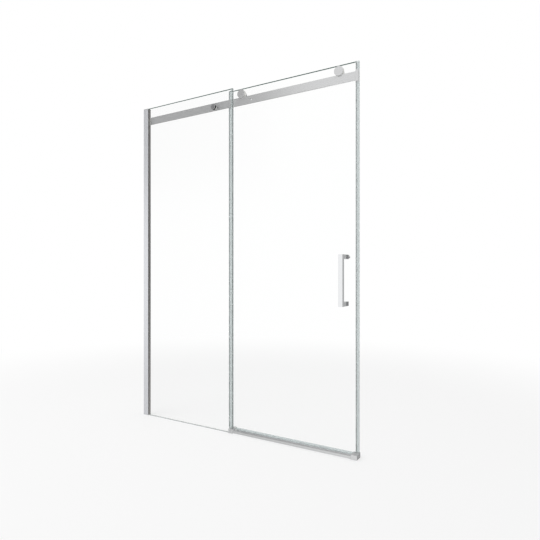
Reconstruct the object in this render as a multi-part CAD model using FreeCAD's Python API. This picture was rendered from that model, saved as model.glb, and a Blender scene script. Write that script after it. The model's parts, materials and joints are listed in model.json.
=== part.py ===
import FreeCAD, Part
import math
import os

V = FreeCAD.Vector

# A frameless sliding shower door. A fixed pane stands in a wall channel on the left, a flat rail
# runs behind it to the right wall, and a second pane hangs behind the rail on two rollers.
# Lengths are in millimetres. X runs along the door from the left wall's face, Y runs into the
# shower from the fixed pane's front face, and Z runs up from the surface the door stands on.

# Panes
opening_width = 1390.0
pane_height = 1904.0
glass_thickness = 8.0
glass_arris = 2.0
fixed_pane_width = 654.4
pane_overlap = 43.0
leading_margin = 16.0

# Fits and fasteners that several pieces share
cut_overrun = 1.0
sliding_fit = 0.3
close_fit = 0.05
washer_thickness = 1.0
screw_radius = 2.0
screw_head_radius = 4.0
screw_head_height = 2.4
screw_grip = 8.0
socket_radius = 1.8
socket_depth = 1.3
hexagon_sides = 6

# Wall channel and the glass channel that telescopes into it
channel_drop = 4.0
channel_wall = 1.5
channel_web = 2.0
wall_channel_reach = 28.0
channel_adjustment = 8.0
front_flange_lead = 8.4
chamber_lead = 8.8
front_lip_lead = 0.3
glass_bite = 20.0
wall_hole_radius = 2.5
wall_hole_outer_margin = 100.0
wall_hole_inner_margin = 650.0
channel_screw_count = 3
channel_screw_margin = 150.0
channel_screw_setback = 8.0
cap_plate = 2.0
cap_skirt = 8.0

# Strips that bed the fixed pane
front_gasket_thickness = 1.7
rear_wedge_thickness = 2.0
gasket_width = 15.0
gasket_setback = 1.0
base_seal_height = 3.0
base_seal_overhang = 1.0

# Clear seals clipped on the panes' edges
seal_wall = 0.8
seal_fit = 0.1
seal_leg = 12.0
leading_leg = 4.0
drip_leg = 8.5
seal_spine = 1.0
seal_step = 0.5
fin_wall = 1.0
fin_lean = 12.0
fin_gap = 0.7
trailing_fin = 2.0
leading_bulb_radius = 4.0
leading_wall_gap = 1.0
drip_lip = 5.0

# Rail, its end brackets and the bolt that ties it to the fixed pane
rail_thickness = 10.0
rail_height = 42.0
rail_drop = 54.0
rail_wall = 2.0
rail_edge_radius = 0.8
left_bracket_length = 21.2
left_bracket_height = 42.0
left_bracket_tab = 23.0
left_bracket_tab_thickness = 3.7
left_bracket_screw_spacing = 20.0
spigot_length = 20.0
right_bracket_length = 14.0
right_bracket_back = 6.0
right_bracket_rim = 6.0
right_bracket_front_wall = 4.0
right_bracket_rear_wall = 3.0
right_bracket_hole_radius = 2.25
right_bracket_hole_spacing = 24.0
bolt_setback = 127.2
bolt_drop = 7.5
bolt_radius = 4.0
bolt_hole_radius = 6.0
bolt_cap_radius = 14.6
bolt_cap_thickness = 2.5
bolt_cap_chamfer = 1.2
bolt_cap_face = 1.5
bolt_pad_radius = 14.8
bolt_pad_thickness = 9.0
spacer_radius = 7.0
crush_sleeve_radius = 6.0
nut_radius = 7.5
nut_thickness = 3.2

# Stop behind the rail that ends the opening travel
stop_setback = 62.0
stop_width = 16.0
stop_thickness = 3.5
stop_height = 30.0
stop_drop = 1.0
bumper_width = 7.0
stop_screw_height = 18.0
stop_screw_head_radius = 5.0
stop_screw_dome = 1.0

# Rollers
left_roller_setback = 91.5
right_roller_setback = 83.0
roller_height = 18.0
tread_clearance = 0.3
flange_clearance = 0.4
front_flange_drop = 4.0
front_flange_thickness = 2.4
rear_flange_drop = 5.0
rear_flange_thickness = 1.8
wheel_lip = 2.5
roller_side_gap = 0.7
roller_cap_radius = 23.5
roller_cap_thickness = 4.2
roller_cap_chamfer = 0.8
roller_cap_face = 1.7
roller_cap_pane_gap = 0.4
axle_radius = 4.0
bearing_width = 7.0
bearing_outer_radius = 11.0
outer_ring_wall = 2.0
inner_ring_wall = 1.95
ball_seat_depth = 0.5
ball_clearance = 0.1
ball_count = 7
bush_flange_radius = 13.0
bush_flange_thickness = 1.1
roller_hole_radius = 8.0
sleeve_clearance = 0.2
inner_gasket_radius = 15.0
inner_cap_radius = 17.0
inner_cap_length = 10.0
inner_cap_chamfer = 1.0
inner_cap_face = 3.0

# Handle
handle_length = 252.0
handle_bottom = 724.0
handle_section = 22.0
handle_edge_radius = 1.2
handle_projection = 50.0
handle_setback = 62.5
handle_bolt_radius = 3.0
handle_hole_radius = 6.0
handle_bolt_bite = 16.0
handle_cap_length = 27.0
handle_cap_face = 4.0
peg_radius = 10.0
peg_length = 25.0
peg_chamfer = 1.0
peg_pin_radius = 2.5
peg_pin_length = 2.5

# Guide block, threshold bar and end block at the floor
guide_bite = 24.5
guide_length = 26.0
guide_front = 6.0
guide_rear = 7.0
guide_height = 22.0
guide_floor = 5.0
guide_lip_gap = 1.8
guide_play = 0.6
guide_edge_radius = 2.0
liner_wall = 1.2
clamp_screw_radius = 2.5
clamp_screw_height = 12.0
threshold_setback = 2.0
threshold_plate = 2.0
threshold_lip_height = 12.6
threshold_lip_wall = 3.0
threshold_bead_height = 5.0
threshold_bead_wall = 2.0
end_block_length = 32.0
end_block_wall_gap = 1.0
end_block_front = 3.0
end_block_pocket = 3.0
end_block_edge_radius = 1.5

# Places across the door, from front to back: the rollers' caps run just behind the fixed pane,
# the rail fits the wheels' grooves, and the sliding pane hangs behind the wheels
fixed_rear = glass_thickness
seal_reach = seal_fit + seal_wall
roller_cap_front = fixed_rear + seal_reach + roller_cap_pane_gap
roller_cap_back = roller_cap_front + roller_cap_thickness
wheel_front = roller_cap_back + roller_side_gap
groove_front = wheel_front + front_flange_thickness
rail_front = groove_front + flange_clearance
rail_rear = rail_front + rail_thickness
rail_middle = (rail_front + rail_rear) / 2
groove_rear = rail_rear + flange_clearance
wheel_rear = groove_rear + rear_flange_thickness
bush_flange_front = wheel_rear + roller_side_gap
bush_rear = bush_flange_front + bush_flange_thickness
sliding_front = bush_rear + washer_thickness
sliding_rear = sliding_front + glass_thickness
inner_cap_front = sliding_rear + washer_thickness
bearing_front = rail_middle - bearing_width / 2
bearing_rear = rail_middle + bearing_width / 2
clip_front = sliding_front - seal_reach
clip_rear = sliding_rear + seal_reach
liner_front = clip_front - guide_play - liner_wall
liner_rear = clip_rear + guide_play + liner_wall
guide_back = sliding_rear + guide_rear
handle_front = sliding_front - handle_projection
handle_bar_rear = handle_front + handle_section
post_rear = sliding_front - washer_thickness
handle_cap_rear = inner_cap_front + handle_cap_length
peg_rear = handle_cap_rear + peg_length

# Channel walls, from front to back: the rail's bracket sits flush on the wall channel's back
glass_channel_front = -front_gasket_thickness - channel_wall
wall_channel_front = glass_channel_front - sliding_fit - channel_wall
divider_front = fixed_rear + rear_wedge_thickness
chamber_front = divider_front + channel_wall
wall_channel_rear = rail_rear - left_bracket_tab_thickness
glass_channel_rear = wall_channel_rear - channel_wall - sliding_fit
chamber_rear = glass_channel_rear - channel_wall
wall_channel_middle = (wall_channel_front + wall_channel_rear) / 2

# Places along the door, from left to right
glass_channel_start = channel_web + channel_adjustment
front_flange_reach = wall_channel_reach + front_flange_lead
chamber_reach = wall_channel_reach + chamber_lead
glass_channel_reach = chamber_reach + front_lip_lead
channel_screw_x = wall_channel_reach - channel_screw_setback
fixed_left = glass_channel_reach - glass_bite
fixed_right = fixed_left + fixed_pane_width
sliding_left = fixed_right - pane_overlap
sliding_right = opening_width - leading_margin
rail_left = chamber_reach + left_bracket_length
rail_right = opening_width - right_bracket_back
right_bracket_left = opening_width - right_bracket_length
left_grub_x = rail_left + spigot_length / 2
right_grub_x = (right_bracket_left + rail_right) / 2
bolt_x = fixed_right - bolt_setback
left_roller_x = sliding_left + left_roller_setback
right_roller_x = sliding_right - right_roller_setback
stop_x = left_roller_x + stop_setback
stop_left = stop_x - stop_width / 2
stop_right = stop_x + stop_width / 2
bumper_right = stop_right + bumper_width
handle_x = sliding_right - handle_setback
handle_left = handle_x - handle_section / 2
handle_right = handle_x + handle_section / 2
guide_left = fixed_right - guide_bite
guide_right = guide_left + guide_length
clamp_x = (guide_left + fixed_right) / 2
end_block_right = opening_width - end_block_wall_gap
end_block_left = end_block_right - end_block_length

# Heights
liner_floor = guide_floor + liner_wall
drip_lip_bottom = liner_floor + guide_lip_gap
drip_spine_bottom = drip_lip_bottom + drip_lip
drip_spine_top = drip_spine_bottom + seal_spine
sliding_pane_bottom = drip_spine_top + seal_fit
drip_leg_top = sliding_pane_bottom + drip_leg
seal_bottom = drip_leg_top + seal_step
fixed_seal_bottom = guide_height + seal_step
channel_height = pane_height - channel_drop
rail_top = pane_height - rail_drop
rail_bottom = rail_top - rail_height
rail_centre = (rail_bottom + rail_top) / 2
bolt_z = rail_centre - bolt_drop
roller_z = rail_top + roller_height
fin_top = rail_bottom - right_bracket_rim
stop_top = rail_top - stop_drop
stop_screw_z = rail_bottom + stop_screw_height
handle_top = handle_bottom + handle_length
handle_post_heights = (handle_bottom + handle_section / 2, handle_top - handle_section / 2)
channel_screw_step = (channel_height - 2 * channel_screw_margin) / (channel_screw_count - 1)
channel_screw_heights = [channel_screw_margin + n * channel_screw_step for n in range(channel_screw_count)]
bracket_screw_heights = (
    rail_centre - left_bracket_screw_spacing / 2,
    rail_centre + left_bracket_screw_spacing / 2,
)
wall_hole_heights = (
    wall_hole_outer_margin,
    wall_hole_inner_margin,
    channel_height - wall_hole_inner_margin,
    channel_height - wall_hole_outer_margin,
)

# Radii and depths that follow from the fits
tread_radius = roller_height - tread_clearance
front_flange_radius = roller_height + front_flange_drop
rear_flange_radius = roller_height + rear_flange_drop
axle_bore_radius = axle_radius + close_fit
inner_ring_radius = axle_bore_radius + inner_ring_wall
outer_ring_bore_radius = bearing_outer_radius - outer_ring_wall
ball_circle_radius = (inner_ring_radius + outer_ring_bore_radius) / 2
ball_radius = (outer_ring_bore_radius - inner_ring_radius) / 2 + ball_seat_depth
wheel_lip_radius = bearing_outer_radius - wheel_lip
roller_cap_bore_depth = roller_cap_thickness - roller_cap_face
inner_cap_bore_depth = inner_cap_length - inner_cap_face
handle_cap_bore_depth = handle_cap_length - handle_cap_face
bolt_cap_bore_depth = bolt_cap_thickness - bolt_cap_face


def block(low, high):
    """A box between two opposite corners."""
    size = high - low
    return Part.makeBox(size.x, size.y, size.z, low)


def rod(radius, start, end):
    """A cylinder from one point to another."""
    line = end - start
    return Part.makeCylinder(radius, line.Length, start, line)


def tube(radius, bore_radius, start, end):
    """A round sleeve or washer from one point to another."""
    step = (end - start).normalize() * cut_overrun
    return rod(radius, start, end).cut(rod(bore_radius, start - step, end + step))


def prism(points, run):
    """A flat outline carried along a straight run."""
    return Part.Face(Part.makePolygon(points + points[:1])).extrude(run)


def turned(profile, x, z):
    """A profile of radius and Y points turned about the Y axis through x and z."""
    points = [V(x + radius, y, z) for radius, y in profile]
    face = Part.Face(Part.makePolygon(points + points[:1]))
    return face.revolve(V(x, 0, z), V(0, 1, 0), 360)


def hexagon(radius, x, z, front, rear):
    """A six-sided prism along Y."""
    turns = [2 * math.pi * n / hexagon_sides for n in range(hexagon_sides)]
    points = [V(x + radius * math.cos(turn), front, z + radius * math.sin(turn)) for turn in turns]
    return prism(points, V(0, rear - front, 0))


def eased(shape, radius, direction):
    """Rounds the edges of a box that run in one direction."""
    ends = [(edge, edge.Vertexes[-1].Point - edge.Vertexes[0].Point) for edge in shape.Edges]
    chosen = [edge for edge, line in ends if round(line.cross(direction).Length) == 0]
    return shape.makeFillet(radius, chosen)


def joined(shapes):
    """Several overlapping or touching shapes as one solid."""
    return shapes[0].multiFuse(shapes[1:]).removeSplitter()


def screw_from_front(x, z, head_radius, dome, seat, tip):
    """A screw along Y with a hexagon socket, its domed head in front of seat and its tip behind it."""
    head_front = seat - screw_head_height
    dome_radius = (head_radius ** 2 + dome ** 2) / (2 * dome)
    ball = Part.makeSphere(dome_radius, V(x, head_front + dome_radius, z))
    head = rod(head_radius, V(x, head_front, z), V(x, seat, z)).common(ball)
    shank = rod(screw_radius, V(x, seat, z), V(x, tip, z))
    socket = hexagon(socket_radius, x, z, head_front, head_front + socket_depth)
    return head.fuse(shank).cut(socket)


def screw_from_rear(x, z, seat, tip):
    """A screw along Y with a hexagon socket, its head behind seat and its tip in front of it."""
    head_rear = seat + screw_head_height
    head = rod(screw_head_radius, V(x, seat, z), V(x, head_rear, z))
    shank = rod(screw_radius, V(x, tip, z), V(x, seat, z))
    socket = hexagon(socket_radius, x, z, head_rear - socket_depth, head_rear)
    return head.fuse(shank).cut(socket)


def rear_screw_holes():
    """Clearance holes for every screw that holds the two channels and the rail's left bracket."""
    places = list(channel_screw_heights) + list(bracket_screw_heights)
    radius = screw_radius + close_fit
    ends = [(V(channel_screw_x, chamber_rear, z), V(channel_screw_x, rail_rear, z)) for z in places]
    return [rod(radius, start - V(0, cut_overrun, 0), end) for start, end in ends]


def wall_channel():
    """The U profile on the wall, with a wider flange in front than behind."""
    outer = block(V(0, wall_channel_front, 0), V(front_flange_reach, wall_channel_rear, channel_height))
    hollow = block(
        V(channel_web, wall_channel_front + channel_wall, -cut_overrun),
        V(front_flange_reach + cut_overrun, wall_channel_rear - channel_wall, channel_height + cut_overrun),
    )
    step = block(
        V(wall_channel_reach, wall_channel_rear - channel_wall - cut_overrun, -cut_overrun),
        V(front_flange_reach + cut_overrun, wall_channel_rear + cut_overrun, channel_height + cut_overrun),
    )
    holes = []
    for z in wall_hole_heights:
        start = V(-cut_overrun, wall_channel_middle, z)
        holes.append(rod(wall_hole_radius, start, V(channel_web + cut_overrun, wall_channel_middle, z)))
    return outer.cut([hollow, step] + holes + rear_screw_holes())


def glass_channel():
    outer = block(
        V(glass_channel_start, glass_channel_front, 0),
        V(glass_channel_reach, glass_channel_rear, channel_height),
    )
    inside = glass_channel_start + channel_wall
    glass_slot = block(
        V(inside, glass_channel_front + channel_wall, -cut_overrun),
        V(glass_channel_reach + cut_overrun, divider_front, channel_height + cut_overrun),
    )
    chamber = block(
        V(inside, chamber_front, -cut_overrun),
        V(chamber_reach - channel_wall, chamber_rear, channel_height + cut_overrun),
    )
    step = block(
        V(chamber_reach, divider_front, -cut_overrun),
        V(glass_channel_reach + cut_overrun, glass_channel_rear + cut_overrun, channel_height + cut_overrun),
    )
    return outer.cut([glass_slot, chamber, step] + rear_screw_holes())


def channel_screws():
    tip = wall_channel_rear - screw_grip
    return Part.makeCompound(
        [screw_from_rear(channel_screw_x, z, wall_channel_rear, tip) for z in channel_screw_heights]
    )


def channel_cap():
    plate = block(
        V(0, wall_channel_front, channel_height),
        V(chamber_reach, wall_channel_rear, channel_height + cap_plate),
    )
    inset = channel_wall + sliding_fit
    skirt = block(
        V(glass_channel_start + inset, chamber_front + sliding_fit, channel_height - cap_skirt),
        V(chamber_reach - inset, chamber_rear - sliding_fit, channel_height),
    )
    pane_slot = block(
        V(fixed_left - sliding_fit, -sliding_fit, channel_height - cut_overrun),
        V(chamber_reach + cut_overrun, fixed_rear + sliding_fit, channel_height + cap_plate + cut_overrun),
    )
    return joined([plate.cut(pane_slot), skirt])


def front_gasket():
    right = glass_channel_reach - gasket_setback
    left = right - gasket_width
    return block(V(left, -front_gasket_thickness, base_seal_height), V(right, 0, channel_height))


def rear_wedge():
    return block(
        V(chamber_reach - gasket_width, fixed_rear, base_seal_height),
        V(chamber_reach, divider_front, channel_height),
    )


def pane(low, high):
    """A sheet of toughened glass with ground edges."""
    sheet = block(low, high)
    return sheet.makeChamfer(glass_arris, sheet.Edges)


def through_glass(radius, x, z, front):
    """The drill for a hole through a pane whose front face is given."""
    return rod(radius, V(x, front - cut_overrun, z), V(x, front + glass_thickness + cut_overrun, z))


def fixed_glass():
    sheet = pane(V(fixed_left, 0, base_seal_height), V(fixed_right, fixed_rear, pane_height))
    return sheet.cut(through_glass(bolt_hole_radius, bolt_x, bolt_z, 0))


def sliding_glass():
    sheet = pane(
        V(sliding_left, sliding_front, sliding_pane_bottom),
        V(sliding_right, sliding_rear, pane_height),
    )
    holes = []
    for x in (left_roller_x, right_roller_x):
        holes.append(through_glass(roller_hole_radius, x, roller_z, sliding_front))
    for z in handle_post_heights:
        holes.append(through_glass(handle_hole_radius, handle_x, z, sliding_front))
    return sheet.cut(holes)


def base_seal():
    return block(
        V(glass_channel_reach, -base_seal_overhang, 0),
        V(guide_left, fixed_rear + base_seal_overhang, base_seal_height),
    )


def edge_clip(edge, inward, leg, front, bottom, top):
    """The two legs and the spine of a seal on a pane's upright edge. inward is 1 or -1 along X."""
    rear = front + glass_thickness
    leg_end = edge + inward * leg
    spine_start = edge - inward * seal_fit
    spine_end = spine_start - inward * seal_spine
    left, right = sorted((leg_end, spine_start))
    spine_left, spine_right = sorted((spine_start, spine_end))
    front_leg = block(V(left, front - seal_reach, bottom), V(right, front - seal_fit, top))
    rear_leg = block(V(left, rear + seal_fit, bottom), V(right, rear + seal_reach, top))
    spine = block(V(spine_left, front - seal_reach, bottom), V(spine_right, rear + seal_reach, top))
    return [front_leg, rear_leg, spine]


def fixed_edge_seal():
    """The clip on the fixed pane and the fin that closes the gap to the sliding pane."""
    clip = edge_clip(fixed_right, -1, seal_leg, 0, fixed_seal_bottom, pane_height)
    root_x = fixed_right - seal_leg / 2
    root_y = fixed_rear + seal_reach
    tip_y = sliding_front - fin_gap
    corners = [
        V(root_x, root_y, seal_bottom),
        V(root_x + fin_wall, root_y, seal_bottom),
        V(root_x + fin_wall - fin_lean, tip_y, seal_bottom),
        V(root_x - fin_lean, tip_y, seal_bottom),
    ]
    return joined(clip + [prism(corners, V(0, 0, fin_top - seal_bottom))])


def trailing_seal():
    """The clip on the sliding pane's left edge, with a flat fin."""
    clip = edge_clip(sliding_left, 1, seal_leg, sliding_front, seal_bottom, pane_height)
    fin_right = sliding_left - seal_fit - seal_spine
    fin_front = (sliding_front + sliding_rear - fin_wall) / 2
    fin = block(
        V(fin_right - trailing_fin, fin_front, seal_bottom),
        V(fin_right, fin_front + fin_wall, pane_height),
    )
    return joined(clip + [fin])


def leading_seal():
    """The clip on the sliding pane's right edge, with a hollow bulb that closes on the wall."""
    clip = edge_clip(sliding_right, -1, leading_leg, sliding_front, seal_bottom, pane_height)
    bulb_left = sliding_right + seal_fit + seal_spine
    bulb_x = opening_width - leading_wall_gap - leading_bulb_radius
    bulb_y = (sliding_front + sliding_rear) / 2

    def bulb(left, radius, bottom, top):
        box = block(V(left, bulb_y - radius, bottom), V(bulb_x, bulb_y + radius, top))
        return [box, rod(radius, V(bulb_x, bulb_y, bottom), V(bulb_x, bulb_y, top))]

    outer = bulb(bulb_left, leading_bulb_radius, seal_bottom, pane_height)
    inner_radius = leading_bulb_radius - seal_wall
    hollow = bulb(bulb_left + seal_wall, inner_radius, seal_bottom - cut_overrun, pane_height + cut_overrun)
    return joined(clip + outer).cut(hollow)


def drip_seal():
    """The clip along the sliding pane's bottom edge, with two lips that wipe the threshold."""
    def strip(front, rear, bottom, top):
        return block(V(sliding_left, front, bottom), V(sliding_right, rear, top))

    front_leg = strip(clip_front, sliding_front - seal_fit, drip_spine_bottom, drip_leg_top)
    rear_leg = strip(sliding_rear + seal_fit, clip_rear, drip_spine_bottom, drip_leg_top)
    spine = strip(clip_front, clip_rear, drip_spine_bottom, drip_spine_top)
    front_lip = strip(sliding_front, sliding_front + fin_wall, drip_lip_bottom, drip_spine_bottom)
    rear_lip = strip(sliding_rear - fin_wall, sliding_rear, drip_lip_bottom, drip_spine_bottom)
    return joined([front_leg, rear_leg, spine, front_lip, rear_lip])


def rail():
    bar = block(V(rail_left, rail_front, rail_bottom), V(rail_right, rail_rear, rail_top))
    bar = eased(bar, rail_edge_radius, V(1, 0, 0))
    hollow = block(
        V(rail_left - cut_overrun, rail_front + rail_wall, rail_bottom + rail_wall),
        V(rail_right + cut_overrun, rail_rear - rail_wall, rail_top - rail_wall),
    )
    through = [
        rod(radius, V(x, rail_front - cut_overrun, z), V(x, rail_rear + cut_overrun, z))
        for radius, x, z in (
            (bolt_radius + close_fit, bolt_x, bolt_z),
            (screw_radius + close_fit, stop_x, stop_screw_z),
        )
    ]
    grub_hole = rod(
        screw_radius + close_fit,
        V(left_grub_x, rail_middle, rail_bottom - cut_overrun),
        V(left_grub_x, rail_middle, rail_bottom + rail_wall + cut_overrun),
    )
    return bar.cut([hollow, grub_hole] + through)


def rail_bracket_left():
    """The bracket that screws to the back of the channel and plugs into the rail's left end."""
    low = rail_centre - left_bracket_height / 2
    high = rail_centre + left_bracket_height / 2
    inset = rail_wall + sliding_fit
    tab_left = chamber_reach - left_bracket_tab
    head = block(V(chamber_reach, rail_front, low), V(rail_left, rail_rear, high))
    tab = block(V(tab_left, wall_channel_rear, low), V(chamber_reach, rail_rear, high))
    spigot = block(
        V(rail_left, rail_front + inset, rail_bottom + inset),
        V(rail_left + spigot_length, rail_rear - inset, rail_top - inset),
    )
    radius = screw_radius + close_fit
    grub_top = V(left_grub_x, rail_middle, rail_bottom + screw_grip + close_fit)
    holes = [rod(radius, V(left_grub_x, rail_middle, rail_bottom), grub_top)]
    for z in bracket_screw_heights:
        start = V(channel_screw_x, rail_front, z)
        holes.append(rod(radius, start, V(channel_screw_x, rail_rear + cut_overrun, z)))
    return joined([head, tab, spigot]).cut(holes)


def rail_bracket_left_screws():
    tip = wall_channel_rear - screw_grip
    return Part.makeCompound(
        [screw_from_rear(channel_screw_x, z, rail_rear, tip) for z in bracket_screw_heights]
    )


def rail_bracket_right():
    """The socket on the right wall that the rail's end sits in."""
    low = V(right_bracket_left, rail_front - right_bracket_front_wall, rail_bottom - right_bracket_rim)
    high = V(opening_width, rail_rear + right_bracket_rear_wall, rail_top + right_bracket_rim)
    body = eased(block(low, high), rail_edge_radius, V(1, 0, 0))
    pocket = block(
        V(right_bracket_left - cut_overrun, rail_front - close_fit, rail_bottom - close_fit),
        V(rail_right, rail_rear + close_fit, rail_top + close_fit),
    )
    grub_start = V(right_grub_x, rail_middle, low.z - cut_overrun)
    holes = [rod(screw_radius + close_fit, grub_start, V(right_grub_x, rail_middle, rail_bottom))]
    half = right_bracket_hole_spacing / 2
    for z in (rail_centre - half, rail_centre + half):
        start = V(rail_right - cut_overrun, rail_middle, z)
        end = V(opening_width + cut_overrun, rail_middle, z)
        holes.append(rod(right_bracket_hole_radius, start, end))
    return body.cut([pocket] + holes)


def rail_grub_screws():
    """One screw from below into the left spigot and one through the right socket."""
    left = rod(
        screw_radius,
        V(left_grub_x, rail_middle, rail_bottom),
        V(left_grub_x, rail_middle, rail_bottom + screw_grip),
    )
    right = rod(
        screw_radius,
        V(right_grub_x, rail_middle, rail_bottom - right_bracket_rim),
        V(right_grub_x, rail_middle, rail_bottom),
    )
    return Part.makeCompound([left, right])


def rail_bolt():
    return rod(
        bolt_radius,
        V(bolt_x, -bolt_pad_thickness - bolt_cap_bore_depth, bolt_z),
        V(bolt_x, rail_rear + nut_thickness, bolt_z),
    )


def rail_bolt_cap():
    """The round cap on the fixed pane's front, with a wide bevel."""
    back = -bolt_pad_thickness
    front = back - bolt_cap_thickness
    bore_end = back - bolt_cap_bore_depth
    bore = bolt_radius + close_fit
    profile = [
        (0, front),
        (bolt_cap_radius - bolt_cap_chamfer, front),
        (bolt_cap_radius, front + bolt_cap_chamfer),
        (bolt_cap_radius, back),
        (bore, back),
        (bore, bore_end),
        (0, bore_end),
    ]
    return turned(profile, bolt_x, bolt_z)


def rail_bolt_gaskets():
    """The thick pad under the cap, a ring behind the fixed pane and the sleeve inside its hole."""
    def at(y):
        return V(bolt_x, y, bolt_z)

    bore = bolt_radius + close_fit
    front = tube(bolt_pad_radius, bore, at(-bolt_pad_thickness), at(0))
    sleeve = tube(bolt_hole_radius - sleeve_clearance, bore, at(0), at(fixed_rear))
    rear = tube(spacer_radius, bore, at(fixed_rear), at(fixed_rear + washer_thickness))
    return Part.makeCompound([front, sleeve, rear])


def rail_spacer():
    start = V(bolt_x, fixed_rear + washer_thickness, bolt_z)
    return tube(spacer_radius, bolt_radius + close_fit, start, V(bolt_x, rail_front, bolt_z))


def rail_crush_sleeve():
    start = V(bolt_x, rail_front + rail_wall, bolt_z)
    end = V(bolt_x, rail_rear - rail_wall, bolt_z)
    return tube(crush_sleeve_radius, bolt_radius + close_fit, start, end)


def rail_bolt_nut():
    nut = hexagon(nut_radius, bolt_x, bolt_z, rail_rear, rail_rear + nut_thickness)
    bore = rod(
        bolt_radius + close_fit,
        V(bolt_x, rail_rear - cut_overrun, bolt_z),
        V(bolt_x, rail_rear + nut_thickness + cut_overrun, bolt_z),
    )
    return nut.cut(bore)


def rail_stop():
    rear = rail_rear + stop_thickness
    body = block(V(stop_left, rail_rear, stop_top - stop_height), V(stop_right, rear, stop_top))
    hole_start = V(stop_x, rail_rear - cut_overrun, stop_screw_z)
    hole_end = V(stop_x, rear + cut_overrun, stop_screw_z)
    return body.cut(rod(screw_radius + close_fit, hole_start, hole_end))


def rail_stop_bumper():
    return block(
        V(stop_right, rail_rear, stop_top - stop_height),
        V(bumper_right, rail_rear + stop_thickness, stop_top),
    )


def rail_stop_screw():
    tip = rail_rear + stop_thickness
    return screw_from_front(
        stop_x, stop_screw_z, stop_screw_head_radius, stop_screw_dome, rail_front, tip
    )


def wheel(x):
    """A grooved wheel moulded round its bearing: the low flange in front, the high one behind."""
    seat = bearing_outer_radius + close_fit
    profile = [
        (wheel_lip_radius, wheel_front),
        (front_flange_radius, wheel_front),
        (front_flange_radius, groove_front),
        (tread_radius, groove_front),
        (tread_radius, groove_rear),
        (rear_flange_radius, groove_rear),
        (rear_flange_radius, wheel_rear),
        (wheel_lip_radius, wheel_rear),
        (wheel_lip_radius, bearing_rear),
        (seat, bearing_rear),
        (seat, bearing_front),
        (wheel_lip_radius, bearing_front),
    ]
    return turned(profile, x, roller_z)


def ball_groove(x):
    """The round groove that the balls of a bearing run in."""
    centre = V(x, rail_middle, roller_z)
    return Part.makeTorus(ball_circle_radius, ball_radius + ball_clearance, centre, V(0, 1, 0))


def bearing_ring(x, radius, bore_radius):
    ring = tube(radius, bore_radius, V(x, bearing_front, roller_z), V(x, bearing_rear, roller_z))
    return ring.cut(ball_groove(x))


def bearing_outer_ring(x):
    return bearing_ring(x, bearing_outer_radius, outer_ring_bore_radius)


def bearing_inner_ring(x):
    return bearing_ring(x, inner_ring_radius, axle_bore_radius)


def bearing_balls(x):
    balls = []
    for n in range(ball_count):
        angle = 2 * math.pi * n / ball_count
        across = ball_circle_radius * math.cos(angle)
        up = ball_circle_radius * math.sin(angle)
        balls.append(Part.makeSphere(ball_radius, V(x + across, rail_middle, roller_z + up)))
    return Part.makeCompound(balls)


def roller_axle(x):
    start = V(x, roller_cap_back - roller_cap_bore_depth, roller_z)
    return rod(axle_radius, start, V(x, inner_cap_front + inner_cap_bore_depth, roller_z))


def roller_cap(x):
    """The flat polished disc in front of a roller."""
    bore_end = roller_cap_back - roller_cap_bore_depth
    profile = [
        (0, roller_cap_front),
        (roller_cap_radius - roller_cap_chamfer, roller_cap_front),
        (roller_cap_radius, roller_cap_front + roller_cap_chamfer),
        (roller_cap_radius, roller_cap_back),
        (axle_bore_radius, roller_cap_back),
        (axle_bore_radius, bore_end),
        (0, bore_end),
    ]
    return turned(profile, x, roller_z)


def roller_front_bush(x):
    start = V(x, roller_cap_back, roller_z)
    return tube(inner_ring_radius, axle_bore_radius, start, V(x, bearing_front, roller_z))


def roller_rear_bush(x):
    """The flanged bush between the bearing and the pane."""
    profile = [
        (axle_bore_radius, bearing_rear),
        (inner_ring_radius, bearing_rear),
        (inner_ring_radius, bush_flange_front),
        (bush_flange_radius, bush_flange_front),
        (bush_flange_radius, bush_rear),
        (axle_bore_radius, bush_rear),
    ]
    return turned(profile, x, roller_z)


def roller_gaskets(x):
    """Soft rings on both faces of the sliding pane and the sleeve inside its hole."""
    def at(y):
        return V(x, y, roller_z)

    front = tube(bush_flange_radius, axle_bore_radius, at(bush_rear), at(sliding_front))
    sleeve_radius = roller_hole_radius - sleeve_clearance
    sleeve = tube(sleeve_radius, axle_bore_radius, at(sliding_front), at(sliding_rear))
    rear = tube(inner_gasket_radius, axle_bore_radius, at(sliding_rear), at(inner_cap_front))
    return [front, sleeve, rear]


def roller_inner_cap(x):
    """The round cap behind the pane that tightens on the axle."""
    back = inner_cap_front + inner_cap_length
    bore_end = inner_cap_front + inner_cap_bore_depth
    profile = [
        (0, back),
        (inner_cap_radius - inner_cap_chamfer, back),
        (inner_cap_radius, back - inner_cap_chamfer),
        (inner_cap_radius, inner_cap_front),
        (axle_bore_radius, inner_cap_front),
        (axle_bore_radius, bore_end),
        (0, bore_end),
    ]
    return turned(profile, x, roller_z)


def handle_bar():
    bar = block(V(handle_left, handle_front, handle_bottom), V(handle_right, handle_bar_rear, handle_top))
    return eased(bar, handle_edge_radius, V(0, 0, 1))


def handle_post(z):
    """One square arm between the bar and the pane, bored for its bolt."""
    half = handle_section / 2
    arm = block(V(handle_left, handle_bar_rear, z - half), V(handle_right, post_rear, z + half))
    bore = rod(
        handle_bolt_radius + close_fit,
        V(handle_x, post_rear - handle_bolt_bite, z),
        V(handle_x, post_rear + cut_overrun, z),
    )
    return eased(arm, handle_edge_radius, V(0, 1, 0)).cut(bore)


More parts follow.
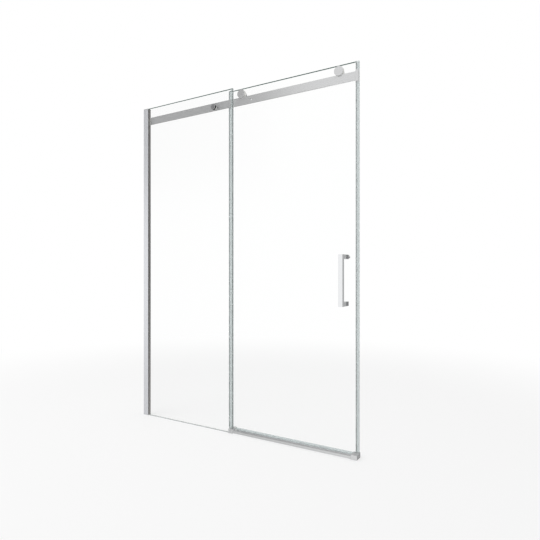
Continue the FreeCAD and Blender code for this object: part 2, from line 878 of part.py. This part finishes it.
def handle_gaskets():
    """Soft pads on both faces of the sliding pane and the sleeves inside its holes."""
    half = handle_section / 2
    bore = handle_bolt_radius + close_fit
    pieces = []
    sleeve_radius = handle_hole_radius - sleeve_clearance
    for z in handle_post_heights:
        for front in (post_rear, sliding_rear):
            rear = front + washer_thickness
            pad = block(V(handle_left, front, z - half), V(handle_right, rear, z + half))
            start = V(handle_x, front - cut_overrun, z)
            pieces.append(pad.cut(rod(bore, start, V(handle_x, rear + cut_overrun, z))))
        start = V(handle_x, sliding_front, z)
        pieces.append(tube(sleeve_radius, bore, start, V(handle_x, sliding_rear, z)))
    return Part.makeCompound(pieces)


def handle_bolts():
    start = post_rear - handle_bolt_bite
    end = inner_cap_front + handle_cap_bore_depth
    return Part.makeCompound(
        [rod(handle_bolt_radius, V(handle_x, start, z), V(handle_x, end, z)) for z in handle_post_heights]
    )


def handle_inner_caps():
    """Square caps behind the pane that tighten on the handle's bolts."""
    half = handle_section / 2
    caps = []
    for z in handle_post_heights:
        body = block(
            V(handle_left, inner_cap_front, z - half),
            V(handle_right, handle_cap_rear, z + half),
        )
        bore = rod(
            handle_bolt_radius + close_fit,
            V(handle_x, inner_cap_front - cut_overrun, z),
            V(handle_x, inner_cap_front + handle_cap_bore_depth, z),
        )
        caps.append(eased(body, handle_edge_radius, V(0, 1, 0)).cut(bore))
    upper_z = handle_post_heights[-1]
    pin_hole = rod(
        peg_pin_radius + close_fit,
        V(handle_x, handle_cap_rear - peg_pin_length, upper_z),
        V(handle_x, handle_cap_rear + cut_overrun, upper_z),
    )
    caps[-1] = caps[-1].cut(pin_hole)
    return Part.makeCompound(caps)


def handle_peg():
    """The short peg behind the upper inner cap, with a pin into the cap."""
    pin_front = handle_cap_rear - peg_pin_length
    profile = [
        (0, pin_front),
        (peg_pin_radius, pin_front),
        (peg_pin_radius, handle_cap_rear),
        (peg_radius, handle_cap_rear),
        (peg_radius, peg_rear - peg_chamfer),
        (peg_radius - peg_chamfer, peg_rear),
        (0, peg_rear),
    ]
    return turned(profile, handle_x, handle_post_heights[-1])


def bottom_guide():
    """The block that grips the fixed pane's corner and guides the sliding pane in a slot."""
    body = block(V(guide_left, -guide_front, 0), V(guide_right, guide_back, guide_height))
    body = eased(body, guide_edge_radius, V(0, 0, 1))
    fixed_slot = block(
        V(guide_left - cut_overrun, -sliding_fit, base_seal_height),
        V(fixed_right + sliding_fit, fixed_rear + sliding_fit, guide_height + cut_overrun),
    )
    sliding_slot = block(
        V(guide_left - cut_overrun, liner_front, guide_floor),
        V(guide_right + cut_overrun, liner_rear, guide_height + cut_overrun),
    )
    clamp_hole = rod(
        clamp_screw_radius + close_fit,
        V(clamp_x, -guide_front - cut_overrun, clamp_screw_height),
        V(clamp_x, 0, clamp_screw_height),
    )
    return body.cut([fixed_slot, sliding_slot, clamp_hole])


def guide_clamp_screw():
    start = V(clamp_x, -guide_front, clamp_screw_height)
    screw = rod(clamp_screw_radius, start, V(clamp_x, 0, clamp_screw_height))
    socket = hexagon(socket_radius, clamp_x, clamp_screw_height, -guide_front, socket_depth - guide_front)
    return screw.cut(socket)


def guide_liner():
    """The smooth plastic lining of the guide's slot."""
    outer = block(V(guide_left, liner_front, guide_floor), V(guide_right, liner_rear, guide_height))
    inner = block(
        V(guide_left - cut_overrun, liner_front + liner_wall, liner_floor),
        V(guide_right + cut_overrun, liner_rear - liner_wall, guide_height + cut_overrun),
    )
    return outer.cut(inner)


def threshold():
    """The low bar under the sliding pane: a lip in front, a plate and a bead behind."""
    front = threshold_setback
    outline = [
        (front, 0),
        (guide_back, 0),
        (guide_back, threshold_bead_height),
        (guide_back - threshold_bead_wall, threshold_bead_height),
        (guide_back - threshold_bead_wall, threshold_plate),
        (front + threshold_lip_wall, threshold_plate),
        (front + threshold_lip_wall, threshold_lip_height),
        (front, threshold_lip_height),
    ]
    return prism([V(guide_right, y, z) for y, z in outline], V(end_block_left - guide_right, 0, 0))


def threshold_end_block():
    """The block at the right wall that the closed pane's lower corner runs into."""
    body = block(V(end_block_left, -end_block_front, 0), V(end_block_right, guide_back, guide_height))
    body = eased(body, end_block_edge_radius, V(0, 0, 1))
    slot = block(
        V(end_block_left - cut_overrun, clip_front - guide_play, guide_floor),
        V(sliding_right + end_block_pocket, clip_rear + guide_play, guide_height + cut_overrun),
    )
    return body.cut(slot)


rollers = {"left": left_roller_x, "right": right_roller_x}
roller_places = list(rollers.values())
nodes = {
    "wall_channel": wall_channel(),
    "glass_channel": glass_channel(),
    "channel_screws": channel_screws(),
    "channel_cap": channel_cap(),
    "front_gasket": front_gasket(),
    "rear_wedge": rear_wedge(),
    "fixed_glass": fixed_glass(),
    "base_seal": base_seal(),
    "fixed_edge_seal": fixed_edge_seal(),
    "rail": rail(),
    "rail_bracket_left": rail_bracket_left(),
    "rail_bracket_left_screws": rail_bracket_left_screws(),
    "rail_bracket_right": rail_bracket_right(),
    "rail_grub_screws": rail_grub_screws(),
    "rail_bolt": rail_bolt(),
    "rail_bolt_cap": rail_bolt_cap(),
    "rail_bolt_gaskets": rail_bolt_gaskets(),
    "rail_bolt_nut": rail_bolt_nut(),
    "rail_spacer": rail_spacer(),
    "rail_crush_sleeve": rail_crush_sleeve(),
    "rail_stop": rail_stop(),
    "rail_stop_bumper": rail_stop_bumper(),
    "rail_stop_screw": rail_stop_screw(),
    "bottom_guide": bottom_guide(),
    "guide_liner": guide_liner(),
    "guide_clamp_screw": guide_clamp_screw(),
    "threshold": threshold(),
    "threshold_end_block": threshold_end_block(),
    "sliding_glass": sliding_glass(),
    "trailing_seal": trailing_seal(),
    "leading_seal": leading_seal(),
    "drip_seal": drip_seal(),
    "handle_bar": handle_bar(),
    "handle_post_lower": handle_post(handle_post_heights[0]),
    "handle_post_upper": handle_post(handle_post_heights[1]),
    "handle_gaskets": handle_gaskets(),
    "handle_bolts": handle_bolts(),
    "handle_inner_caps": handle_inner_caps(),
    "handle_peg": handle_peg(),
    "roller_front_bushes": Part.makeCompound([roller_front_bush(x) for x in roller_places]),
    "roller_rear_bushes": Part.makeCompound([roller_rear_bush(x) for x in roller_places]),
    "roller_gaskets": Part.makeCompound([ring for x in roller_places for ring in roller_gaskets(x)]),
    "bearing_inner_rings": Part.makeCompound([bearing_inner_ring(x) for x in roller_places]),
}
for side, x in rollers.items():
    nodes[side + "_roller_cap"] = roller_cap(x)
    nodes[side + "_roller_axle"] = roller_axle(x)
    nodes[side + "_roller_inner_cap"] = roller_inner_cap(x)
    nodes[side + "_wheel"] = wheel(x)
    nodes[side + "_bearing_outer_ring"] = bearing_outer_ring(x)
    nodes[side + "_bearing_balls"] = bearing_balls(x)

os.makedirs("parts", exist_ok=True)
for name, shape in nodes.items():
    shape.exportStep("parts/" + name + ".step")
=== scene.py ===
import json
import math

import bpy
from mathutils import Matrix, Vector

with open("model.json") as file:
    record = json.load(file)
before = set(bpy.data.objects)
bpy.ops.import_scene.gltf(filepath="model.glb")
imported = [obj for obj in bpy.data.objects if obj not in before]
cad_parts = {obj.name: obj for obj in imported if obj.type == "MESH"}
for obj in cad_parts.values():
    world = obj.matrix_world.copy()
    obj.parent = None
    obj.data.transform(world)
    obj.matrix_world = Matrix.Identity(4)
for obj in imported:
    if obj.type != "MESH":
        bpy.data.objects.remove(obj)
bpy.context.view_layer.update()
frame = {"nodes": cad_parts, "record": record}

# Camera: level, at eye height, in front of the door and to its right. Metres and degrees.
camera_place = (2.1305, -2.0765, 0.9006)
camera_turn = 30.41
camera_level = 90.0
sensor_width = 36.0
focal_length = 30.56

# Floor
floor_middle = (0.695, 0.02)
floor_radius = 4.0
floor_sides = 96
floor_drop = 0.0005
floor_colour = (0.95, 0.95, 0.95, 1.0)
floor_glow = 0.40
floor_near = 1.5
floor_far = 3.8

# Light
white = (1.0, 1.0, 1.0, 1.0)
backdrop_light = 1.0
soft_light = 0.88
lamp_size = (3.0, 2.0)
lamp_power = 20.0
lamp_place = (-1.2, -2.6, 3.4)
lamp_target = (0.7, 0.0, 0.9)
light_bounces = 40
any_bounce = 0.5

# What polished surfaces mirror: a studio's grey panels, each table a ring of (place, brightness) from
# the back by the left, the front and the right to the back again. The rings lie below the horizon,
# at it and above it, and the heights between which one fades into the next are given below them.
under_panels = (
    (0.000, 0.95),
    (0.062, 0.90),
    (0.077, 0.48),
    (0.090, 0.18),
    (0.115, 0.15),
    (0.250, 0.35),
    (0.373, 0.35),
    (0.402, 0.50),
    (0.426, 0.63),
    (0.438, 0.85),
    (0.446, 0.93),
    (0.700, 0.80),
    (0.840, 0.60),
    (0.875, 0.90),
    (0.890, 0.25),
    (0.905, 0.20),
    (0.960, 0.10),
    (1.000, 0.95),
)
level_panels = (
    (0.000, 1.00),
    (0.250, 0.85),
    (0.370, 0.79),
    (0.400, 0.86),
    (0.440, 0.97),
    (0.720, 0.90),
    (0.840, 0.60),
    (0.870, 0.15),
    (0.897, 0.06),
    (0.910, 0.10),
    (0.930, 0.43),
    (0.960, 0.45),
    (1.000, 1.00),
)
high_panels = (
    (0.000, 0.70),
    (0.060, 0.25),
    (0.097, 0.05),
    (0.130, 0.50),
    (0.270, 0.20),
    (0.380, 0.10),
    (0.402, 0.06),
    (0.411, 0.07),
    (0.418, 0.56),
    (0.427, 0.90),
    (0.446, 0.84),
    (0.500, 1.00),
    (0.700, 0.85),
    (0.840, 0.60),
    (0.865, 0.18),
    (0.882, 0.16),
    (0.893, 0.60),
    (0.940, 0.62),
    (1.000, 0.70),
)
overhead_panel = 0.8
level_fade = (-0.28, -0.06)
high_fade = (0.08, 0.26)
overhead_fade = (0.70, 0.95)

# Glass
glass_face = (0.998, 1.0, 0.999, 1.0)
glass_ground_top = (0.05, 0.105, 0.085, 1.0)
glass_ground_side = (0.06, 0.085, 0.08, 1.0)
glass_clear_edge = (0.90, 0.94, 0.93, 1.0)
glass_face_limit = 0.9
glass_edge_limit = 0.6
glass_rim = 1.9002
glass_edge_haze = 0.1
glass_grain = 900.0
glass_ground_roughness = (0.3, 0.5)
glass_ior = 1.52
glass_sheen = (0.12, 0.12, 0.12, 1.0)

# Clear seals
seal_wave = 40.0
seal_stretch = (4.0, 4.0, 0.3)
seal_roughness = (0.08, 0.2)
seal_clearness = 0.85
seal_ior = 1.15
seal_relief = 0.02
seal_wave_depth = 0.0005

# Marks and grain of the other finishes
tone_spread = (0.3, 0.7)
mark_depth = 0.0002
grain_depth = 0.0003
grain_dark = 0.85
grain_light = 1.1
grain_roughness_step = 0.08
any_way = (1.0, 1.0, 1.0)
along_x = (1.0, 40.0, 40.0)
along_z = (60.0, 60.0, 1.0)
turned = (1.0, 6.0, 1.0)


def link(tree, source, target):
    tree.links.new(source, target)


def add(tree, kind, **settings):
    """A new node with its settings."""
    node = tree.nodes.new(kind)
    for name, value in settings.items():
        setattr(node, name, value)
    return node


def math_node(tree, operation, first, second=None):
    """A math node on one or two sockets or numbers. Returns its result."""
    node = add(tree, "ShaderNodeMath", operation=operation)
    for slot, value in enumerate((first, second)):
        if value is None:
            continue
        if isinstance(value, (int, float)):
            node.inputs[slot].default_value = value
        else:
            link(tree, value, node.inputs[slot])
    return node.outputs[0]


def noise(tree, scale, stretch=any_way, detail=3.0):
    """Noise in the object's own coordinates, finer along an axis that is stretched more."""
    place = add(tree, "ShaderNodeTexCoord")
    mapping = add(tree, "ShaderNodeMapping")
    mapping.inputs["Scale"].default_value = stretch
    link(tree, place.outputs["Object"], mapping.inputs["Vector"])
    texture = add(tree, "ShaderNodeTexNoise")
    texture.inputs["Scale"].default_value = scale
    texture.inputs["Detail"].default_value = detail
    link(tree, mapping.outputs["Vector"], texture.inputs["Vector"])
    return texture.outputs["Fac"]


def ramp(tree, factor, stops):
    """A colour ramp with (position, colour) stops."""
    node = add(tree, "ShaderNodeValToRGB")
    elements = node.color_ramp.elements
    while len(elements) < len(stops):
        elements.new(0.5)
    for element, (position, colour) in zip(elements, stops):
        element.position = position
        element.color = colour
    link(tree, factor, node.inputs["Fac"])
    return node.outputs["Color"]


def between(tree, factor, low, high):
    """Maps a factor from 0 to 1 onto a range of numbers."""
    node = add(tree, "ShaderNodeMapRange")
    node.inputs["To Min"].default_value = low
    node.inputs["To Max"].default_value = high
    link(tree, factor, node.inputs["Value"])
    return node.outputs["Result"]


def smooth(tree, value, low, high):
    """0 below low, 1 above high and a soft step between them."""
    node = add(tree, "ShaderNodeMapRange", interpolation_type="SMOOTHSTEP")
    node.inputs["From Min"].default_value = low
    node.inputs["From Max"].default_value = high
    link(tree, value, node.inputs["Value"])
    return node.outputs["Result"]


def blend(tree, factor, first, second):
    """Mixes two colours."""
    node = add(tree, "ShaderNodeMix", data_type="RGBA")
    link(tree, factor, node.inputs[0])
    for socket, value in ((node.inputs[6], first), (node.inputs[7], second)):
        if isinstance(value, tuple):
            socket.default_value = value
        else:
            link(tree, value, socket)
    return node.outputs[2]


def grey(value):
    return (value, value, value, 1.0)


def shaded(colour, amount):
    """A colour made lighter or darker."""
    return tuple(channel * amount for channel in colour[:3]) + (1.0,)


def bump(tree, shader, height, strength, distance):
    node = add(tree, "ShaderNodeBump")
    node.inputs["Strength"].default_value = strength
    node.inputs["Distance"].default_value = distance
    link(tree, height, node.inputs["Height"])
    link(tree, node.outputs["Normal"], shader.inputs["Normal"])


def new_material(name):
    """A material with an empty Principled shader. Returns it with its node tree and shader."""
    material = bpy.data.materials.new(name)
    material.use_nodes = True
    tree = material.node_tree
    return material, tree, tree.nodes["Principled BSDF"]


def tint(tree, shader, factor, dark, light):
    """Lets the base colour wander between two tones."""
    tones = ramp(tree, factor, [(tone_spread[0], dark), (tone_spread[1], light)])
    link(tree, tones, shader.inputs["Base Color"])


def polish(tree, shader, factor, roughness):
    """Lets the roughness wander between two values."""
    link(tree, between(tree, factor, roughness[0], roughness[1]), shader.inputs["Roughness"])


def metal(name, colour, darkest, roughness, scale, stretch, relief, shine=1.0):
    """Metal with the fine marks of its finish, shorter along an axis that is stretched more."""
    material, tree, shader = new_material(name)
    marks = noise(tree, scale, stretch)
    tint(tree, shader, marks, shaded(colour, darkest), shaded(colour, 1.0))
    polish(tree, shader, marks, roughness)
    shader.inputs["Metallic"].default_value = shine
    bump(tree, shader, marks, relief, mark_depth)
    return material


def clear_glass():
    """Clear toughened glass with a dark green ground rim at its top, ground sides and a clear foot."""
    material, tree, shader = new_material("clear_glass")
    place = add(tree, "ShaderNodeTexCoord")
    axes = add(tree, "ShaderNodeSeparateXYZ")
    link(tree, place.outputs["Normal"], axes.inputs["Vector"])
    spot = add(tree, "ShaderNodeSeparateXYZ")
    link(tree, place.outputs["Object"], spot.inputs["Vector"])
    edge = math_node(tree, "LESS_THAN", math_node(tree, "ABSOLUTE", axes.outputs["Y"]), glass_face_limit)
    side = math_node(tree, "GREATER_THAN", math_node(tree, "ABSOLUTE", axes.outputs["X"]), glass_edge_limit)
    rim = math_node(tree, "GREATER_THAN", spot.outputs["Z"], glass_rim)
    ground = math_node(tree, "MAXIMUM", side, rim)
    colour = blend(tree, edge, glass_face, glass_clear_edge)
    colour = blend(tree, side, colour, glass_ground_side)
    link(tree, blend(tree, rim, colour, glass_ground_top), shader.inputs["Base Color"])
    solid = math_node(tree, "MAXIMUM", ground, math_node(tree, "MULTIPLY", edge, glass_edge_haze))
    link(tree, between(tree, solid, 1.0, 0.0), shader.inputs["Transmission Weight"])
    grain = between(tree, noise(tree, glass_grain), glass_ground_roughness[0], glass_ground_roughness[1])
    dull = math_node(tree, "MAXIMUM", ground, edge)
    link(tree, math_node(tree, "MULTIPLY", dull, grain), shader.inputs["Roughness"])
    shader.inputs["IOR"].default_value = glass_ior
    shader.inputs["Specular Tint"].default_value = glass_sheen
    return material


def clear_plastic(name, dark, light):
    """Clear flexible plastic with the faint waves of an extrusion."""
    material, tree, shader = new_material(name)
    waves = noise(tree, seal_wave, seal_stretch)
    tint(tree, shader, waves, dark, light)
    polish(tree, shader, waves, seal_roughness)
    shader.inputs["Transmission Weight"].default_value = seal_clearness
    shader.inputs["IOR"].default_value = seal_ior
    bump(tree, shader, waves, seal_relief, seal_wave_depth)
    return material


def grained(name, colour, roughness, scale, relief):
    """Moulded plastic or rubber with a fine grain."""
    material, tree, shader = new_material(name)
    grain = noise(tree, scale)
    tint(tree, shader, grain, shaded(colour, grain_dark), shaded(colour, grain_light))
    polish(tree, shader, grain, (roughness - grain_roughness_step, roughness + grain_roughness_step))
    bump(tree, shader, grain, relief, grain_depth)
    return material


materials = {
    "clear_glass": clear_glass(),
    "clear_seal": clear_plastic("clear_seal", (0.73, 0.765, 0.765, 1.0), (0.77, 0.80, 0.80, 1.0)),
    "pale_seal": clear_plastic("pale_seal", (0.80, 0.84, 0.84, 1.0), (0.84, 0.87, 0.87, 1.0)),
    "polished_steel": metal("polished_steel", (0.89, 0.90, 0.91), 0.98, (0.05, 0.13), 60.0, along_x, 0.02),
    "satin_steel": metal("satin_steel", (0.71, 0.715, 0.72), 0.97, (0.14, 0.22), 60.0, along_x, 0.03, 0.49),
    # Polished steel darkened to half and made partly dull: painted shade, standing in for the dark
    # reflection on the rail bolt cap
    "painted_shade_steel": metal("painted_shade_steel", (0.50, 0.50, 0.51), 0.96, (0.06, 0.14), 60.0, turned, 0.02, 0.6),
    # Steel darkened to 0.42: painted shade, standing in for a dark reflection on the bolt cap
    "dark_steel": metal("dark_steel", (0.42, 0.42, 0.43), 0.94, (0.12, 0.20), 200.0, turned, 0.03),
    "bright_aluminium": metal(
        "bright_aluminium", (0.845, 0.855, 0.89), 0.97, (0.20, 0.30), 30.0, along_z, 0.03, 0.45
    ),
    "grey_aluminium": metal("grey_aluminium", (0.52, 0.51, 0.49), 0.94, (0.25, 0.35), 30.0, along_z, 0.05),
    "fastener_steel": metal("fastener_steel", (0.64, 0.65, 0.66), 0.83, (0.2, 0.4), 300.0, turned, 0.1),
    "bearing_steel": metal("bearing_steel", (0.70, 0.71, 0.72), 0.92, (0.1, 0.2), 500.0, any_way, 0.02),
    "grey_rubber": grained("grey_rubber", (0.20, 0.19, 0.18), 0.6, 700.0, 0.2),
    "black_rubber": grained("black_rubber", (0.03, 0.03, 0.03), 0.55, 700.0, 0.2),
    "black_foam": grained("black_foam", (0.008, 0.008, 0.008), 0.85, 700.0, 0.2),
    "grey_plastic": grained("grey_plastic", (0.07, 0.07, 0.075), 0.45, 900.0, 0.15),
    "nylon": grained("nylon", (0.88, 0.88, 0.86), 0.4, 500.0, 0.1),
}

# Pieces with a finish of their own instead of their slot's (the rail bolt cap's steel is darkened as
# painted shade), pieces that no polished surface mirrors, and the finishes that let soft light through
own_finish = {
    # The rail bolt cap gets steel darkened as painted shade instead of its polished slot
    "rail_bolt_cap": "painted_shade_steel",
    "rail_bolt_gaskets": "black_foam",
    "roller_gaskets": "clear_seal",
    "drip_seal": "pale_seal",
}
unmirrored = ("rail_bolt_gaskets",)
see_through = ("clear_glass", "clear_seal", "pale_seal")


def dress():
    """Gives every piece its finish and lets soft light through what is clear."""
    for entry in frame["record"]["subparts"]:
        name = entry["node"]
        finish = own_finish.get(name, entry["material_slot"])
        piece = frame["nodes"][name]
        piece.data.materials.clear()
        piece.data.materials.append(materials[finish])
        piece.visible_glossy = name not in unmirrored
        if finish in see_through:
            piece.visible_diffuse = False
            piece.visible_shadow = False


def background_rays(tree):
    """1 for rays that show the background: from the camera, also through glass, but not mirrored."""
    path = add(tree, "ShaderNodeLightPath")
    mirrored = math_node(tree, "GREATER_THAN", path.outputs["Glossy Depth"], any_bounce)
    scattered = math_node(tree, "GREATER_THAN", path.outputs["Diffuse Depth"], any_bounce)
    straight = math_node(tree, "SUBTRACT", 1.0, math_node(tree, "MAXIMUM", mirrored, scattered))
    through = math_node(tree, "MULTIPLY", path.outputs["Is Transmission Ray"], straight)
    return math_node(tree, "MAXIMUM", path.outputs["Is Camera Ray"], through)


def mirrored_rays(tree):
    """1 for rays that left a polished surface, also where they then passed through glass."""
    path = add(tree, "ShaderNodeLightPath")
    mirrored = math_node(tree, "GREATER_THAN", path.outputs["Glossy Depth"], any_bounce)
    scattered = math_node(tree, "GREATER_THAN", path.outputs["Diffuse Depth"], any_bounce)
    return math_node(tree, "MULTIPLY", mirrored, math_node(tree, "SUBTRACT", 1.0, scattered))


def make_floor():
    """A pale floor that keeps the door's shadow near it and runs into the white backdrop further off."""
    middle = (floor_middle[0], floor_middle[1], -floor_drop)
    bpy.ops.mesh.primitive_circle_add(
        vertices=floor_sides, radius=floor_radius, fill_type="NGON", location=middle
    )
    floor = bpy.context.object
    floor.name = "floor"
    material = bpy.data.materials.new("floor")
    material.use_nodes = True
    tree = material.node_tree
    tree.nodes.clear()
    place = add(tree, "ShaderNodeTexCoord")
    away = add(tree, "ShaderNodeVectorMath", operation="LENGTH")
    link(tree, place.outputs["Object"], away.inputs[0])
    far = smooth(tree, away.outputs["Value"], floor_near, floor_far)
    glowing = between(tree, far, floor_glow, 1.0)
    diffuse = add(tree, "ShaderNodeBsdfDiffuse")
    diffuse.inputs["Color"].default_value = floor_colour
    glow = add(tree, "ShaderNodeEmission")
    glow.inputs["Color"].default_value = white
    glow.inputs["Strength"].default_value = backdrop_light
    mix = add(tree, "ShaderNodeMixShader")
    share = math_node(tree, "MULTIPLY", background_rays(tree), glowing)
    link(tree, share, mix.inputs["Fac"])
    link(tree, diffuse.outputs["BSDF"], mix.inputs[1])
    link(tree, glow.outputs["Emission"], mix.inputs[2])
    clear = add(tree, "ShaderNodeBsdfTransparent")
    studio = add(tree, "ShaderNodeMixShader")
    link(tree, mirrored_rays(tree), studio.inputs["Fac"])
    link(tree, mix.outputs["Shader"], studio.inputs[1])
    link(tree, clear.outputs["BSDF"], studio.inputs[2])
    output = add(tree, "ShaderNodeOutputMaterial")
    link(tree, studio.outputs["Shader"], output.inputs["Surface"])
    floor.data.materials.append(material)


def panel_ring(tree, around, panels):
    """The greys of a ring of panels, by the direction around."""
    return ramp(tree, around, [(place, grey(brightness)) for place, brightness in panels])


def make_world():
    """White behind the door, and the soft grey panels of a studio all round for what is polished."""
    world = bpy.data.worlds.new("studio")
    bpy.context.scene.world = world
    world.use_nodes = True
    tree = world.node_tree
    tree.nodes.clear()
    place = add(tree, "ShaderNodeTexCoord")
    axes = add(tree, "ShaderNodeSeparateXYZ")
    link(tree, place.outputs["Generated"], axes.inputs["Vector"])
    front = math_node(tree, "MULTIPLY", axes.outputs["Y"], -1.0)
    turn = math_node(tree, "ARCTAN2", axes.outputs["X"], front)
    around = math_node(tree, "ADD", math_node(tree, "DIVIDE", turn, 2 * math.pi), 0.5)
    under = panel_ring(tree, around, under_panels)
    level = panel_ring(tree, around, level_panels)
    high = panel_ring(tree, around, high_panels)
    height = axes.outputs["Z"]
    panels = blend(tree, smooth(tree, height, level_fade[0], level_fade[1]), under, level)
    panels = blend(tree, smooth(tree, height, high_fade[0], high_fade[1]), panels, high)
    overhead = smooth(tree, height, overhead_fade[0], overhead_fade[1])
    panels = blend(tree, overhead, panels, grey(overhead_panel))
    studio = add(tree, "ShaderNodeBackground")
    link(tree, panels, studio.inputs["Color"])
    light = add(tree, "ShaderNodeBackground")
    light.inputs["Color"].default_value = white
    light.inputs["Strength"].default_value = soft_light
    backdrop = add(tree, "ShaderNodeBackground")
    backdrop.inputs["Color"].default_value = white
    backdrop.inputs["Strength"].default_value = backdrop_light
    polished = add(tree, "ShaderNodeMixShader")
    link(tree, mirrored_rays(tree), polished.inputs["Fac"])
    link(tree, light.outputs["Background"], polished.inputs[1])
    link(tree, studio.outputs["Background"], polished.inputs[2])
    mix = add(tree, "ShaderNodeMixShader")
    link(tree, background_rays(tree), mix.inputs["Fac"])
    link(tree, polished.outputs["Shader"], mix.inputs[1])
    link(tree, backdrop.outputs["Background"], mix.inputs[2])
    output = add(tree, "ShaderNodeOutputWorld")
    link(tree, mix.outputs["Shader"], output.inputs["Surface"])


def make_lamp():
    """One large soft lamp above and in front, to the left."""
    lamp = bpy.data.lights.new("soft_lamp", "AREA")
    lamp.shape = "RECTANGLE"
    lamp.size = lamp_size[0]
    lamp.size_y = lamp_size[1]
    lamp.energy = lamp_power
    lamp_object = bpy.data.objects.new("soft_lamp", lamp)
    lamp_object.location = lamp_place
    aim = Vector(lamp_target) - lamp_object.location
    lamp_object.rotation_euler = aim.to_track_quat("-Z", "Y").to_euler()
    lamp_object.visible_camera = False
    lamp_object.visible_glossy = False
    lamp_object.visible_transmission = False
    bpy.context.collection.objects.link(lamp_object)


def make_camera():
    """A level camera at the photograph's place."""
    camera = bpy.data.cameras.new("camera")
    camera.sensor_width = sensor_width
    camera.lens = focal_length
    camera_object = bpy.data.objects.new("camera", camera)
    camera_object.location = camera_place
    camera_object.rotation_euler = (math.radians(camera_level), 0.0, math.radians(camera_turn))
    bpy.context.collection.objects.link(camera_object)
    bpy.context.scene.camera = camera_object


dress()
make_floor()
make_world()
make_lamp()
make_camera()
bpy.context.scene.view_settings.view_transform = "Standard"
bpy.context.scene.cycles.max_bounces = light_bounces
bpy.context.scene.cycles.transmission_bounces = light_bounces
